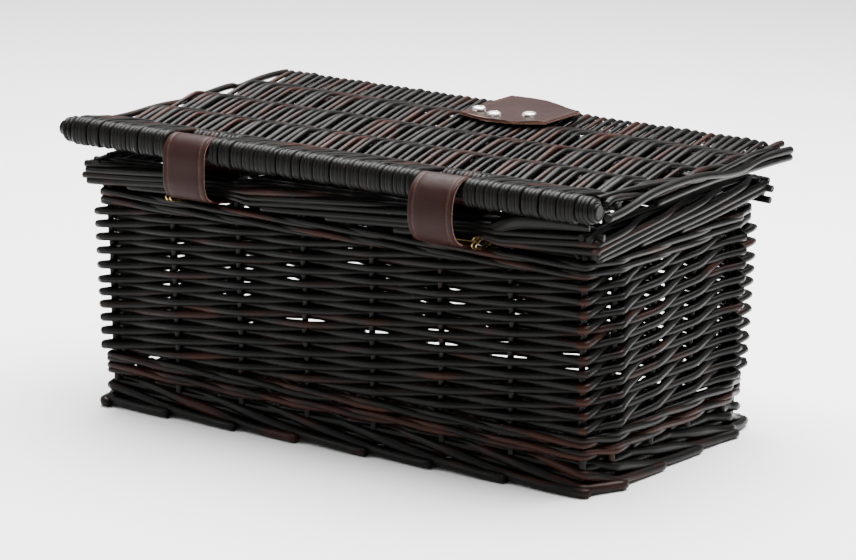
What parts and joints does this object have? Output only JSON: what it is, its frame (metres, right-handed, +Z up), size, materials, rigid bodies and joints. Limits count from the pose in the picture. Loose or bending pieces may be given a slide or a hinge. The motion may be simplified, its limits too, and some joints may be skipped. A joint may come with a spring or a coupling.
{
  "type": "wicker basket",
  "caption": "Rectangular lidded willow hamper: woven walls on upright stakes, a lid turning in leather hinge loops, and a leather flap closure with a turning knob.",
  "frame": {"origin": "under the middle of the overall length and depth, on the surface that the basket stands on", "axes": "+X along the long sides and the lid's hinge rod, +Y towards the front with the closure, +Z up"},
  "size_m": [0.403, 0.2664, 0.196],
  "materials": {
    "willow_black": "stained black-brown willow with a satin sheen",
    "willow_brown": "stained reddish dark brown willow with a satin sheen",
    "strap_leather": "smooth dark reddish brown leather with tan cut edges",
    "nickel": "bright nickel plate",
    "brass": "dull brass wire"
  },
  "bodies": {
    "basket": {"base_panel": "willow_brown", "closure_patch": "strap_leather", "foot_border": "willow_black", "hinge_loop_left": "strap_leather", "hinge_loop_right": "strap_leather", "lock_plate": "nickel", "loop_pin_left": "brass", "loop_pin_right": "brass", "lower_waling": "willow_brown", "side_weave": "willow_black", "stake_back_1": "willow_black", "stake_back_2": "willow_black", "stake_back_3": "willow_black", "stake_back_4": "willow_black", "stake_back_5": "willow_black", "stake_back_6": "willow_black", "stake_back_7": "willow_black", "stake_back_8": "willow_black", "stake_front_1": "willow_black", "stake_front_2": "willow_black", "stake_front_3": "willow_black", "stake_front_4": "willow_black", "stake_front_5": "willow_black", "stake_front_6": "willow_black", "stake_front_7": "willow_black", "stake_front_8": "willow_black", "stake_left_1": "willow_black", "stake_left_2": "willow_black", "stake_left_3": "willow_black", "stake_left_4": "willow_black", "stake_right_1": "willow_black", "stake_right_2": "willow_black", "stake_right_3": "willow_black", "stake_right_4": "willow_black", "top_border": "willow_black", "upper_waling": "willow_black"},
    "lid": {"flap_mount": "strap_leather", "flap_rivet_1": "nickel", "flap_rivet_2": "nickel", "flap_rivet_3": "nickel", "lid_end_rod_left": "willow_black", "lid_end_rod_right_1": "willow_black", "lid_end_rod_right_2": "willow_black", "lid_end_rod_right_3": "willow_black", "lid_front_rod": "willow_black", "lid_hinge_rod": "willow_brown", "lid_stick_1": "willow_black", "lid_stick_2": "willow_black", "lid_stick_3": "willow_black", "lid_stick_4": "willow_black", "lid_weave": "willow_brown", "lid_wrapping_1": "willow_black", "lid_wrapping_2": "willow_black", "lid_wrapping_3": "willow_black", "lid_wrapping_4": "willow_black", "lid_wrapping_5": "willow_black"},
    "flap": {"flap_slot_plate": "nickel", "flap_tail": "strap_leather"},
    "knob": {"turn_knob": "nickel"}
  },
  "joints": [
    {"name": "lid_hinge", "type": "hinge", "parent": "basket", "child": "lid", "pos_m": [0, -0.11595, 0.185], "axis": [1, 0, 0], "range_deg": [0, 105]},
    {"name": "flap_fold", "type": "hinge", "parent": "lid", "child": "flap", "pos_m": [0.0215, 0.13075, 0.1905], "axis": [1, 0, 0], "range_deg": [-10, 165]},
    {"name": "knob_turn", "type": "hinge", "parent": "basket", "child": "knob", "pos_m": [0.0215, 0.12405, 0.131], "axis": [0, 1, 0], "range_deg": [0, 90]}
  ]
}
